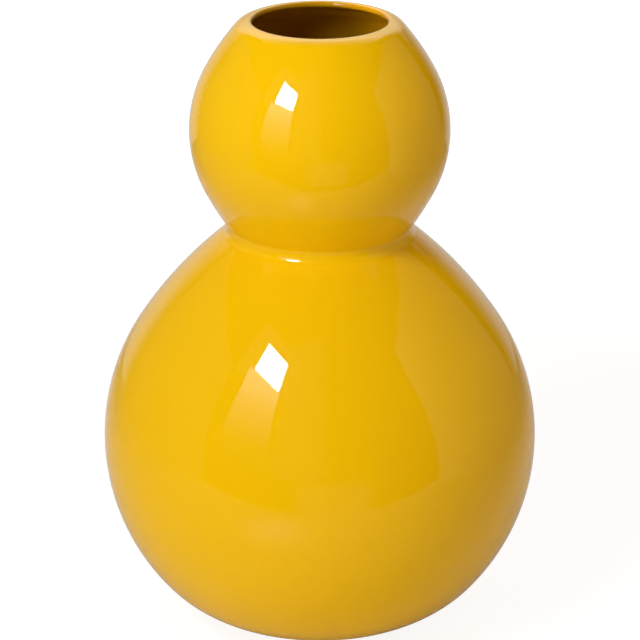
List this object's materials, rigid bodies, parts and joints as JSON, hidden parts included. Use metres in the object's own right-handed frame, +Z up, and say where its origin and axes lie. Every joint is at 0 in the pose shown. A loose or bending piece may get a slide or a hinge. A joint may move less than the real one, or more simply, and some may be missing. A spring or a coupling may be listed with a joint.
{
  "type": "vase",
  "caption": "Gourd-shaped spun metal vase: a small bulb on a large one, with a narrow neck, a thick round lip, a hollow lacquered body and a felt base pad.",
  "frame": {"origin": "centre of the pad's underside, which rests on the table", "axes": "+Z up along the axis of revolution, towards the mouth"},
  "size_m": [0.2, 0.2, 0.2849],
  "materials": {
    "lacquer": "high-gloss yellow lacquer over spun steel sheet",
    "inner_lacquer": "gloss yellow lacquer, sprayed inside after brazing",
    "felt": "pressed wool felt"
  },
  "bodies": {
    "root": {"lower_bowl": "lacquer", "lower_dome": "lacquer", "upper_bowl": "lacquer", "upper_dome": "lacquer", "mouth_ring": "lacquer", "lower_seam_band": "inner_lacquer", "upper_seam_band": "inner_lacquer", "neck_hoop": "inner_lacquer", "base_pad": "felt"}
  },
  "joints": []
}
